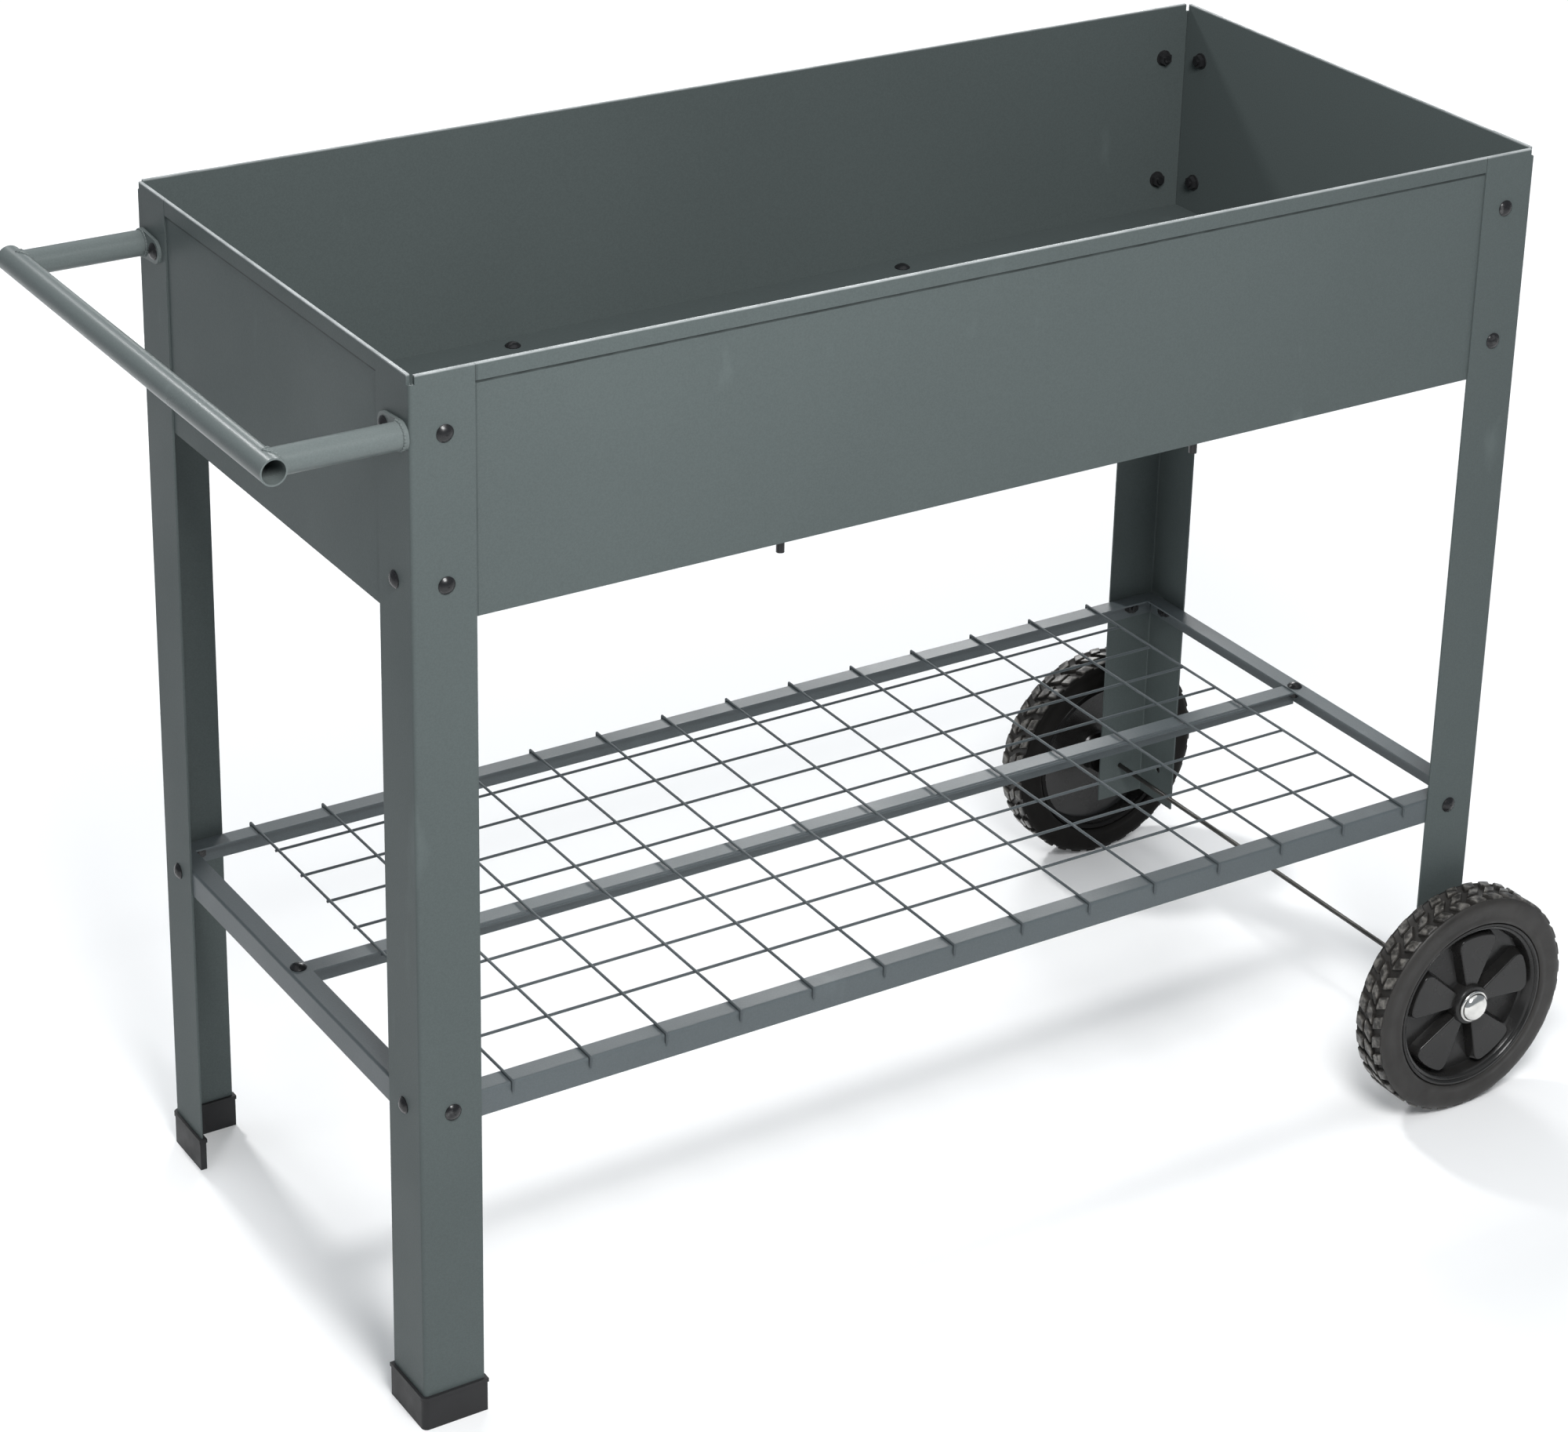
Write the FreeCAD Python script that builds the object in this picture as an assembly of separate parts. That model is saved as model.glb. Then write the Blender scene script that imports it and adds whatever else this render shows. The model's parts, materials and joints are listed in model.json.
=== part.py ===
import FreeCAD, Part
import math
import os

# A raised sheet-steel planter on four angle legs, with a U-shaped handle at the left end,
# a wire shelf below the trough and two wheels on one axle at the right end.
# Millimetres. +X runs along the trough from the handle to the wheels, -Y is the front,
# +Z is up. The origin is on the ground, at the centre of the planter's outline.

Vector = FreeCAD.Vector

# ---- driving dimensions ------------------------------------------------------------------
overall_height = 800.0        # rim of the trough above the ground
tray_length = 940.0           # outside the legs' end flanges
tray_width = 426.0            # outside the legs' front and back flanges
tray_height = 178.0           # rim to the underside of the trough
panel_sheet = 1.0
hem_height = 12.0             # folded strip below the rim
hem_bend = 0.8                # outside radius of the hem's fold
hem_slot = 0.3                # space inside the folded hem
lip_width = 30.0              # inward flange along the bottom of each panel
sheet_gap = 0.3               # clearance between neighbouring sheets
rim_notch_width = 4.0         # corner relief at the rim
rim_notch_height = 6.5

leg_flange = 47.0
leg_sheet = 1.5
leg_bend = 2.6                # outside radius of the legs' bend
right_leg_drop = 30.0         # right legs end this far below the axle

bolt_inset = 25.0             # bolt axis from the outside corner of a leg
upper_bolt_drop = 43.5        # below the rim
lower_bolt_drop = 150.0
bolt_radius = 3.0
bolt_clearance = 0.25
bolt_head_radius = 6.2
bolt_head_height = 3.4
bolt_head_rim = 0.6
nut_flats = 10.0
nut_height = 5.0
nut_flange_radius = 6.6
nut_flange_height = 1.2
bolt_tail = 2.0               # shank showing past its nut
floor_bolt_inset = 20.0       # from the trough's long faces
floor_bolt_half_span = 178.0  # each side of the trough's middle
floor_bolt_tail = 11.0
drain_radius = 4.0
drain_spacing_x = 220.0
drain_spacing_y = 200.0
drains_along = 4
drains_across = 2

shelf_top = 262.0             # top face of the shelf rails
rail_height = 20.0
rail_width = 16.0
rail_sheet = 1.4
rail_bend = 2.0
rail_gap = 0.6                # clearance between rails that meet in a corner
nut_gap = 0.3                 # clearance between a nut and the bend of the rail it sits on
middle_bolt_inset = 10.5      # middle rail's bolts, from the legs' end faces

wire_radius = 1.1
wire_weld = 0.4               # depth that crossing wires are welded into each other
cross_wires = 14
cross_wire_pitch = 61.3
long_wires = 8
long_wire_pitch = 44.8
long_wire_shift = 9.5         # the long wires sit this far towards the back
hook_drop = 8.0               # wire ends bent down over the rails
hook_gap = 0.3

tube_radius = 9.5
tube_wall = 1.2
handle_reach = 96.0           # legs' end faces to the cross tube's axis
handle_arm_inset = 10.6       # arm axis from the trough's long faces
handle_overhang = 15.0        # cross tube past the arms' axes
plate_sheet = 2.5
plate_bolt_radius = 9.0       # rounded end of the plate, round its bolt
handle_bolt_inset = 31.5

cap_height = 27.0
cap_wall = 1.8
cap_floor = 3.0
cap_lip_height = 3.0
cap_lip = 0.7

wheel_radius = 95.0
tyre_width = 35.0
wheel_gap = 16.0              # legs' outer face to the wheel
rim_radius = 72.0
axle_radius = 2.0
axle_inset = 25.5             # axle's axis from the legs' right faces
axle_running_clearance = 0.08
axle_hole_clearance = 0.1
rim_band = 6.0
rim_band_inset = 2.0          # the rim's edges stand back from the tyre's faces
web_depth = 12.0              # web's outer face below the wheel's outer face
web_sheet = 4.0
hub_radius = 17.0
spokes = 5
spoke_first_angle = 14.0
spoke_angle = 40.0
spoke_depth = 4.0             # spoke faces below the wheel's outer face
tread_lugs = 34
tread_groove_depth = 3.5
tread_groove_width = 5.5
tread_groove_reach = 12.0     # grooves run in this far from each shoulder
tyre_shoulder = 4.0
spacer_radius = 7.0
spin_gap = 0.4                # end play of each wheel
push_cap_radius = 13.5
push_cap_rim = 2.5
push_cap_dome = 5.0

# ---- places worked out from the driving dimensions ---------------------------------------
outline_left = handle_reach + tube_radius
outline_right = wheel_radius - axle_inset
middle_x = (outline_left - outline_right) / 2
left_x = middle_x - tray_length / 2
right_x = middle_x + tray_length / 2
front_y = -tray_width / 2
tray_bottom = overall_height - tray_height
upper_bolt_z = overall_height - upper_bolt_drop
lower_bolt_z = overall_height - lower_bolt_drop
shelf_bolt_z = shelf_top - rail_bend - nut_flange_radius - nut_gap
middle_rail_back_y = nut_flange_radius + rail_bend + nut_gap
wall_x = left_x + leg_sheet
wall_y = front_y + leg_sheet
long_panel_x = left_x + leg_bend + sheet_gap
axle_x = right_x - axle_inset
axle_z = wheel_radius
wheel_inner_y = front_y - wheel_gap
wheel_outer_y = wheel_inner_y - tyre_width
arm_y = front_y + handle_arm_inset
handle_x = left_x - handle_reach
hole_radius = bolt_radius + bolt_clearance
same_place = 0.001            # points closer than this are one point
most_of_sheet = 0.8           # a fillet takes at most this much of its sheet
fuse_depth = 1.0              # pieces of one moulding run this far into each other
cut_margin = 1.0              # cutting blocks run this far past the surface they cut


# ---- helpers -----------------------------------------------------------------------------
def box(x0, y0, z0, x1, y1, z1):
    """A box between two corners."""
    return Part.makeBox(x1 - x0, y1 - y0, z1 - z0, Vector(x0, y0, z0))


def rod(start, direction, radius, length):
    """A round bar from a start point along a direction."""
    return Part.makeCylinder(radius, length, Vector(*start), Vector(*direction))


def to_back(shape):
    """The same piece on the other side of the planter's long middle plane."""
    return shape.mirror(Vector(0, 0, 0), Vector(0, 1, 0))


def to_right(shape):
    """The same piece at the other end of the trough."""
    return shape.mirror(Vector(middle_x, 0, 0), Vector(1, 0, 0))


def domed(seat, direction, radius, rim, dome):
    """A round boss on `seat` standing out along `direction`: a rim, then a dome on top of it."""
    mid_angle = math.atan(dome / radius)
    dome_radius = (radius ** 2 + dome ** 2) / (2 * dome)
    mid = Vector(dome_radius * math.sin(mid_angle), 0, rim + dome - dome_radius * (1 - math.cos(mid_angle)))
    corners = [Vector(0, 0, 0), Vector(radius, 0, 0), Vector(radius, 0, rim)]
    top = Vector(0, 0, rim + dome)
    edges = [Part.makeLine(corners[0], corners[1])]
    if rim > 0:
        edges.append(Part.makeLine(corners[1], corners[2]))
    edges.append(Part.Arc(corners[2], mid, top).toShape())
    edges.append(Part.makeLine(top, corners[0]))
    shape = Part.Face(Part.Wire(edges)).revolve(Vector(0, 0, 0), Vector(0, 0, 1), 360)
    shape.Placement = FreeCAD.Placement(Vector(*seat), FreeCAD.Rotation(Vector(0, 0, 1), Vector(*direction)))
    return shape


def join(shapes):
    """One solid out of pieces that touch or overlap."""
    return shapes[0].multiFuse(shapes[1:]).removeSplitter()


def group(shapes):
    """Separate solids kept together in one sub-part."""
    return Part.makeCompound(shapes)


def export(shape, node):
    shape.exportStep("parts/" + node + ".step")


def angle_face(width_a, width_b, sheet, bend):
    """The L-shaped section of an angle, outside corner at the origin, legs along +X and +Y."""
    inner_bend = bend - sheet
    outer_mid = bend * (1 - math.sqrt(0.5))
    inner_mid = sheet + inner_bend * (1 - math.sqrt(0.5))
    edges = [
        Part.makeLine(Vector(bend, 0, 0), Vector(width_a, 0, 0)),
        Part.makeLine(Vector(width_a, 0, 0), Vector(width_a, sheet, 0)),
        Part.makeLine(Vector(width_a, sheet, 0), Vector(bend, sheet, 0)),
        Part.Arc(Vector(bend, sheet, 0), Vector(inner_mid, inner_mid, 0), Vector(sheet, bend, 0)).toShape(),
        Part.makeLine(Vector(sheet, bend, 0), Vector(sheet, width_b, 0)),
        Part.makeLine(Vector(sheet, width_b, 0), Vector(0, width_b, 0)),
        Part.makeLine(Vector(0, width_b, 0), Vector(0, bend, 0)),
        Part.Arc(Vector(0, bend, 0), Vector(outer_mid, outer_mid, 0), Vector(bend, 0, 0)).toShape(),
    ]
    return Part.Face(Part.Wire(edges))


def place_axes(shape, x_axis, y_axis, z_axis, origin):
    """Turn a shape drawn in X, Y, Z so that its axes lie along the three given directions."""
    rows = zip(x_axis, y_axis, z_axis, origin)
    numbers = [value for row in rows for value in row]
    return shape.transformGeometry(FreeCAD.Matrix(*numbers, 0, 0, 0, 1))


# ---- fasteners ---------------------------------------------------------------------------
def dome_bolt(seat, direction, grip):
    """A domed bolt: its head sits on `seat`, and its shank runs along `direction`."""
    out = [-value for value in direction]
    head = domed(seat, out, bolt_head_radius, bolt_head_rim, bolt_head_height - bolt_head_rim)
    return join([head, rod(seat, direction, bolt_radius, grip)])


def flange_nut(seat, direction):
    """A flanged hexagon nut on `seat`, standing out along `direction`."""
    normal = Vector(*direction)
    corner = nut_flats / math.sqrt(3)
    across = Vector(0, 0, 1) if abs(normal.z) < 0.5 else Vector(1, 0, 0)
    side = normal.cross(across)
    points = []
    for step in range(7):
        turn = math.radians(60 * step)
        points.append(Vector(*seat) + across * (corner * math.cos(turn)) + side * (corner * math.sin(turn)))
    hexagon = Part.Face(Part.makePolygon(points)).extrude(normal * nut_height)
    flange = rod(seat, direction, nut_flange_radius, nut_flange_height)
    return join([hexagon, flange]).cut(rod(seat, direction, bolt_radius, nut_height))


def bolt_and_nut(seat, direction, clamped, tail=bolt_tail):
    """A bolt through `clamped` millimetres of sheet, and its nut on the far side."""
    bolt = dome_bolt(seat, direction, clamped + nut_height + tail)
    nut_seat = Vector(*seat) + Vector(*direction) * clamped
    return bolt, flange_nut(tuple(nut_seat), direction)


# ---- legs and feet -----------------------------------------------------------------------
def leg(bottom, handle_end, wheel_end):
    """The front left leg's angle, with every hole that its place in the planter needs."""
    shape = angle_face(leg_flange, leg_flange, leg_sheet, leg_bend)
    shape = shape.extrude(Vector(0, 0, overall_height - bottom))
    shape.translate(Vector(left_x, front_y, bottom))
    end_upper_inset = handle_bolt_inset if handle_end else bolt_inset
    cuts = [box(left_x, front_y, overall_height - rim_notch_height,
                left_x + rim_notch_width, front_y + rim_notch_width, overall_height)]
    for height in (upper_bolt_z, lower_bolt_z, shelf_bolt_z):
        inset = end_upper_inset if height == upper_bolt_z else bolt_inset
        cuts.append(rod((left_x + bolt_inset, front_y, height), (0, 1, 0), hole_radius, leg_sheet))
        cuts.append(rod((left_x, front_y + inset, height), (1, 0, 0), hole_radius, leg_sheet))
    if wheel_end:
        radius = axle_radius + axle_hole_clearance
        cuts.append(rod((left_x + axle_inset, front_y, axle_z), (0, 1, 0), radius, leg_sheet))
        cuts.append(rod((left_x, front_y + axle_inset, axle_z), (1, 0, 0), hole_radius, leg_sheet))
    return shape.cut(Part.makeCompound(cuts))


def cap_section(outside, height):
    """The foot cap's L-shaped block, standing `outside` past the leg on every side."""
    reach = leg_flange + outside
    inner = leg_sheet + outside
    points = [(-outside, -outside), (reach, -outside), (reach, inner), (inner, inner), (inner, reach),
              (-outside, reach), (-outside, -outside)]
    corners = [Vector(left_x + x, front_y + y, 0) for x, y in points]
    block = Part.Face(Part.makePolygon(corners)).extrude(Vector(0, 0, height))
    outer_edges = []
    for edge in block.Edges:
        offsets = [abs(v.X - corners[0].x) + abs(v.Y - corners[0].y) for v in edge.Vertexes]
        if max(offsets) < same_place:
            outer_edges.append(edge)
    return block.makeFillet(leg_bend + outside, outer_edges)


def foot_cap():
    """A plastic shoe on the bottom of the front left leg, with a bead round its top."""
    body = cap_section(cap_wall, cap_height)
    bead = cap_section(cap_wall + cap_lip, cap_lip_height)
    bead.translate(Vector(0, 0, cap_height - cap_lip_height))
    shape = join([body, bead])
    pocket = angle_face(leg_flange, leg_flange, leg_sheet, leg_bend)
    pocket = pocket.extrude(Vector(0, 0, cap_height))
    pocket.translate(Vector(left_x, front_y, cap_floor))
    return shape.cut(pocket)


# ---- trough ------------------------------------------------------------------------------
def bent_panel(length, hem_start):
    """A panel seen from outside: X along it, Y inwards, Z up; X = 0 at its left edge, Y = 0 at its face."""
    top = overall_height
    wall = box(0, 0, tray_bottom, length, panel_sheet, top)
    hem_front = -(panel_sheet + hem_slot)
    strip = box(hem_start, hem_front, top - hem_height, length - hem_start, hem_front + panel_sheet, top)
    fold = box(hem_start, hem_front, top - panel_sheet, length - hem_start, panel_sheet, top)
    hem = join([strip, fold])
    edges = [edge for edge in hem.Edges
             if min(v.Z for v in edge.Vertexes) > top - same_place
             and max(v.Y for v in edge.Vertexes) < hem_front + same_place]
    hem = hem.makeFillet(min(hem_bend, panel_sheet * most_of_sheet), edges)
    return join([wall, hem])


def long_panel():
    """The front panel: wall, folded hem between the legs, and the bottom lip that carries the floor."""
    length = 2 * (middle_x - long_panel_x)
    shape = bent_panel(length, left_x + leg_flange + sheet_gap - long_panel_x)
    shape.translate(Vector(long_panel_x, wall_y, 0))
    lip_start = wall_x + panel_sheet + sheet_gap
    lip_end = 2 * middle_x - lip_start
    lip = box(lip_start, wall_y, tray_bottom, lip_end, wall_y + lip_width, tray_bottom + panel_sheet)
    shape = join([shape, lip])
    notch_end = left_x + rim_notch_width
    notch = box(left_x, front_y, overall_height - rim_notch_height, notch_end, 0, overall_height)
    cuts = [notch, to_right(notch)]
    for height in (upper_bolt_z, lower_bolt_z):
        hole = rod((left_x + bolt_inset, wall_y, height), (0, 1, 0), hole_radius, panel_sheet)
        cuts += [hole, to_right(hole)]
    floor_hole = rod((middle_x - floor_bolt_half_span, front_y + floor_bolt_inset, tray_bottom),
                     (0, 0, 1), hole_radius, panel_sheet)
    cuts += [floor_hole, to_right(floor_hole)]
    return shape.cut(Part.makeCompound(cuts))


def end_panel(handle_end):
    """The left end panel, which fits between the two long panels."""
    start = front_y + max(leg_bend, leg_sheet + panel_sheet) + sheet_gap
    length = -2 * start
    hem_start = front_y + leg_flange + sheet_gap - start
    shape = bent_panel(length, hem_start)
    shape = place_axes(shape, (0, 1, 0), (1, 0, 0), (0, 0, 1), (wall_x, start, 0))
    lip_start = wall_y + lip_width + sheet_gap
    lip = box(wall_x, lip_start, tray_bottom, wall_x + lip_width, -lip_start, tray_bottom + panel_sheet)
    shape = join([shape, lip])
    notch = box(left_x, front_y, overall_height - rim_notch_height,
                middle_x, front_y + rim_notch_width, overall_height)
    cuts = [notch, to_back(notch)]
    for height in (upper_bolt_z, lower_bolt_z):
        inset = handle_bolt_inset if handle_end and height == upper_bolt_z else bolt_inset
        hole = rod((wall_x, front_y + inset, height), (1, 0, 0), hole_radius, panel_sheet)
        cuts += [hole, to_back(hole)]
    return shape.cut(Part.makeCompound(cuts))


def tray_floor():
    """The floor sheet on the panels' lips, with its four bolt holes and the drain holes."""
    edge_x = wall_x + panel_sheet + sheet_gap
    edge_y = wall_y + panel_sheet + sheet_gap
    bottom = tray_bottom + panel_sheet
    sheet = box(edge_x, edge_y, bottom, 2 * middle_x - edge_x, -edge_y, bottom + panel_sheet)
    cuts = []
    for x, y in floor_bolt_places():
        cuts.append(rod((x, y, bottom), (0, 0, 1), hole_radius, panel_sheet))
    for column in range(drains_along):
        for row in range(drains_across):
            x = middle_x + (column - (drains_along - 1) / 2) * drain_spacing_x
            y = (row - (drains_across - 1) / 2) * drain_spacing_y
            cuts.append(rod((x, y, bottom), (0, 0, 1), drain_radius, panel_sheet))
    return sheet.cut(Part.makeCompound(cuts))


def floor_bolt_places():
    places = []
    for side_x in (-1, 1):
        for side_y in (-1, 1):
            places.append((middle_x + side_x * floor_bolt_half_span,
                           side_y * (tray_width / 2 - floor_bolt_inset)))
    return places


# ---- shelf -------------------------------------------------------------------------------
def long_rail():
    """The front shelf rail: upright face outwards, flange inwards, a bolt hole at each end."""
    start = left_x + leg_sheet + rail_sheet + rail_gap
    length = 2 * (middle_x - start)
    section = angle_face(rail_width, rail_height, rail_sheet, rail_bend)
    shape = place_axes(section.extrude(Vector(0, 0, length)), (0, 1, 0), (0, 0, -1), (1, 0, 0),
                       (start, wall_y, shelf_top))
    hole = rod((left_x + bolt_inset, wall_y, shelf_bolt_z), (0, 1, 0), hole_radius, rail_sheet)
    return shape.cut(Part.makeCompound([hole, to_right(hole)]))


def end_rail():
    """The left shelf rail, its flange cut back so that it clears the long rails."""
    start = front_y + leg_sheet + rail_sheet + rail_gap
    length = -2 * start
    section = angle_face(rail_width, rail_height, rail_sheet, rail_bend)
    shape = place_axes(section.extrude(Vector(0, 0, length)), (1, 0, 0), (0, 0, -1), (0, 1, 0),
                       (wall_x, start, shelf_top))
    flange_start = wall_y + rail_width + rail_gap
    trim = box(left_x, start, shelf_top - rail_bend, left_x + leg_flange, flange_start, shelf_top)
    hole = rod((wall_x, front_y + bolt_inset, shelf_bolt_z), (1, 0, 0), hole_radius, rail_sheet)
    middle_hole = rod((left_x + middle_bolt_inset, 0, shelf_top - rail_sheet), (0, 0, 1),
                      hole_radius, rail_sheet)
    return shape.cut(Part.makeCompound([trim, to_back(trim), hole, to_back(hole), middle_hole]))


def middle_rail():
    """The rail along the shelf's middle, bolted up under the end rails' flanges."""
    start = wall_x + rail_bend + rail_gap
    length = 2 * (middle_x - start)
    section = angle_face(rail_width, rail_height, rail_sheet, rail_bend)
    shape = place_axes(section.extrude(Vector(0, 0, length)), (0, -1, 0), (0, 0, -1), (1, 0, 0),
                       (start, middle_rail_back_y, shelf_top - rail_sheet))
    hole = rod((left_x + middle_bolt_inset, 0, shelf_top - 2 * rail_sheet), (0, 0, 1),
               hole_radius, rail_sheet)
    return shape.cut(Part.makeCompound([hole, to_right(hole)]))


def shelf_mesh():
    """The welded wire mesh: cross wires hooked over the long rails, long wires under them."""
    wire_z = shelf_top + wire_radius
    hook_y = wall_y - wire_radius - hook_gap
    wires = []
    first_x = middle_x - (cross_wires - 1) / 2 * cross_wire_pitch
    for index in range(cross_wires):
        x = first_x + index * cross_wire_pitch
        wires.append(rod((x, hook_y, wire_z), (0, 1, 0), wire_radius, -2 * hook_y))
        for y in (hook_y, -hook_y):
            wires.append(Part.makeSphere(wire_radius, Vector(x, y, wire_z)))
            wires.append(rod((x, y, wire_z), (0, 0, -1), wire_radius, hook_drop))
    first_y = long_wire_shift - (long_wires - 1) / 2 * long_wire_pitch
    last_x = first_x + (cross_wires - 1) * cross_wire_pitch
    for index in range(long_wires):
        y = first_y + index * long_wire_pitch
        z = wire_z - 2 * wire_radius + wire_weld
        start = (first_x - wire_radius, y, z)
        wires.append(rod(start, (1, 0, 0), wire_radius, last_x - first_x + 2 * wire_radius))
    return wires[0].multiFuse(wires[1:])


# ---- handle ------------------------------------------------------------------------------
def handle_cross_tube():
    """The grip: a tube across the trough's end, open at both ends."""
    half = tray_width / 2 - handle_arm_inset + handle_overhang
    outer = rod((handle_x, -half, upper_bolt_z), (0, 1, 0), tube_radius, 2 * half)
    return outer.cut(rod((handle_x, -half, upper_bolt_z), (0, 1, 0), tube_radius - tube_wall, 2 * half))


def handle_arm():
    """The front arm: a tube from its plate to the cross tube, coped to fit round it."""
    length = handle_reach - plate_sheet
    start = (left_x - plate_sheet, arm_y, upper_bolt_z)
    outer = rod(start, (-1, 0, 0), tube_radius, length)
    bore = rod(start, (-1, 0, 0), tube_radius - tube_wall, length)
    cope_half = tube_radius + cut_margin
    cope = rod((handle_x, arm_y - cope_half, upper_bolt_z), (0, 1, 0), tube_radius, 2 * cope_half)
    return outer.cut(bore).cut(cope)


def handle_plate():
    """The plate welded to the front arm's end: a teardrop from the arm to its bolt."""
    bolt_y = front_y + handle_bolt_inset
    face_x = left_x - plate_sheet
    arm_disc_radius = handle_arm_inset
    arm_disc = rod((face_x, arm_y, upper_bolt_z), (1, 0, 0), arm_disc_radius, plate_sheet)
    bolt_disc = rod((face_x, bolt_y, upper_bolt_z), (1, 0, 0), plate_bolt_radius, plate_sheet)
    lean = math.asin((arm_disc_radius - plate_bolt_radius) / (bolt_y - arm_y))
    corners = []
    for radius, y in ((arm_disc_radius, arm_y), (plate_bolt_radius, bolt_y)):
        corners.append((y + radius * math.sin(lean), radius * math.cos(lean)))
    (arm_side, arm_rise), (bolt_side, bolt_rise) = corners
    outline = [(arm_side, arm_rise), (bolt_side, bolt_rise), (bolt_side, -bolt_rise), (arm_side, -arm_rise),
               (arm_side, arm_rise)]
    web = Part.Face(Part.makePolygon([Vector(face_x, y, upper_bolt_z + z) for y, z in outline]))
    web = web.extrude(Vector(plate_sheet, 0, 0))
    hole = rod((face_x, bolt_y, upper_bolt_z), (1, 0, 0), hole_radius, plate_sheet)
    return join([arm_disc, bolt_disc, web]).cut(hole)


# ---- wheels ------------------------------------------------------------------------------
def turned(points):
    """A solid turned about the axle from (radius, distance outwards from the wheel's inner face)."""
    corners = [Vector(axle_x + radius, wheel_inner_y - outwards, axle_z) for radius, outwards in points]
    face = Part.Face(Part.makePolygon(corners + corners[:1]))
    return face.revolve(Vector(axle_x, 0, axle_z), Vector(0, 1, 0), 360)


def wheel_tyre():
    """The front tyre: a rounded ring with a row of grooves cut into each shoulder."""
    shape = turned([(rim_radius, 0), (wheel_radius, 0), (wheel_radius, tyre_width), (rim_radius, tyre_width)])
    shoulders = [edge for edge in shape.Edges
                 if edge.Curve.TypeId == "Part::GeomCircle"
                 and abs(edge.Curve.Radius - wheel_radius) < same_place]
    shape = shape.makeFillet(tyre_shoulder, shoulders)
    cuts = []
    bottom = wheel_radius - tread_groove_depth
    for index in range(tread_lugs):
        for side in (0, 1):
            turn = 360.0 * (index + side / 2) / tread_lugs
            inner = tyre_width - tread_groove_reach if side else 0
            half = tread_groove_width / 2
            groove = box(axle_x + bottom, wheel_inner_y - inner - tread_groove_reach, axle_z - half,
                         axle_x + wheel_radius + cut_margin, wheel_inner_y - inner, axle_z + half)
            groove.rotate(Vector(axle_x, 0, axle_z), Vector(0, 1, 0), turn)
            cuts.append(groove)
    return shape.cut(Part.makeCompound(cuts))


def wheel_rim():
    """The front wheel's moulding: band, web, flat spokes and a hub that runs on the axle."""
    low = rim_band_inset
    high = tyre_width - rim_band_inset
    web_high = tyre_width - web_depth
    web_low = web_high - web_sheet
    band_radius = rim_radius - rim_band
    bore = axle_radius + axle_running_clearance
    band = turned([(band_radius, low), (rim_radius, low), (rim_radius, high), (band_radius, high)])
    inside = hub_radius - fuse_depth
    outside = band_radius + fuse_depth
    web = turned([(inside, web_low), (outside, web_low), (outside, web_high), (inside, web_high)])
    hub = turned([(bore, 0), (hub_radius, 0), (hub_radius, tyre_width), (bore, tyre_width)])
    spoke_high = tyre_width - spoke_depth
    pieces = [band, web, hub]
    for index in range(spokes):
        sector = sector_block(inside, outside, spoke_angle, web_high - fuse_depth, spoke_high)
        turn = -(spoke_first_angle + index * 360.0 / spokes)
        sector.rotate(Vector(axle_x, 0, axle_z), Vector(0, 1, 0), turn)
        pieces.append(sector)
    return join(pieces)


def sector_block(inner_radius, outer_radius, angle, low, high):
    """Part of a ring about the axle, centred on +X, between two distances outwards."""
    corners = [Vector(axle_x + inner_radius, wheel_inner_y - low, axle_z),
               Vector(axle_x + outer_radius, wheel_inner_y - low, axle_z),
               Vector(axle_x + outer_radius, wheel_inner_y - high, axle_z),
               Vector(axle_x + inner_radius, wheel_inner_y - high, axle_z)]
    face = Part.Face(Part.makePolygon(corners + corners[:1]))
    block = face.revolve(Vector(axle_x, 0, axle_z), Vector(0, 1, 0), angle)
    block.rotate(Vector(axle_x, 0, axle_z), Vector(0, 1, 0), -angle / 2)
    return block


def axle():
    """The axle, from inside one push cap to inside the other."""
    end_y = wheel_outer_y - spin_gap - push_cap_rim
    return rod((axle_x, end_y, axle_z), (0, 1, 0), axle_radius, -2 * end_y)


def axle_spacer():
    """The front sleeve that keeps the wheel off the leg."""
    length = wheel_gap - spin_gap
    sleeve = rod((axle_x, front_y, axle_z), (0, -1, 0), spacer_radius, length)
    return sleeve.cut(rod((axle_x, front_y, axle_z), (0, -1, 0), axle_radius, length))


def push_cap():
    """The domed cap pressed on the front end of the axle."""
    base_y = wheel_outer_y - spin_gap
    cap = domed((axle_x, base_y, axle_z), (0, -1, 0), push_cap_radius, push_cap_rim, push_cap_dome)
    return cap.cut(rod((axle_x, base_y, axle_z), (0, -1, 0), axle_radius, push_cap_rim))


# ---- fastener groups ---------------------------------------------------------------------
def tray_fasteners():
    """Bolts and nuts that hold the legs to the four panels, without the handle's two."""
    pairs = []
    clamped = leg_sheet + panel_sheet
    for height in (upper_bolt_z, lower_bolt_z):
        pairs.append((bolt_and_nut((left_x + bolt_inset, front_y, height), (0, 1, 0), clamped), True))
        pairs.append((bolt_and_nut((left_x, front_y + bolt_inset, height), (1, 0, 0), clamped),
                      height != upper_bolt_z))
    bolts = []
    nuts = []
    for (bolt, nut), left_too in pairs:
        for shape, kept in ((bolt, bolts), (nut, nuts)):
            corners = [to_right(shape), to_right(to_back(shape))]
            if left_too:
                corners += [shape, to_back(shape)]
            kept += corners
    return group(bolts), group(nuts)


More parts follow.
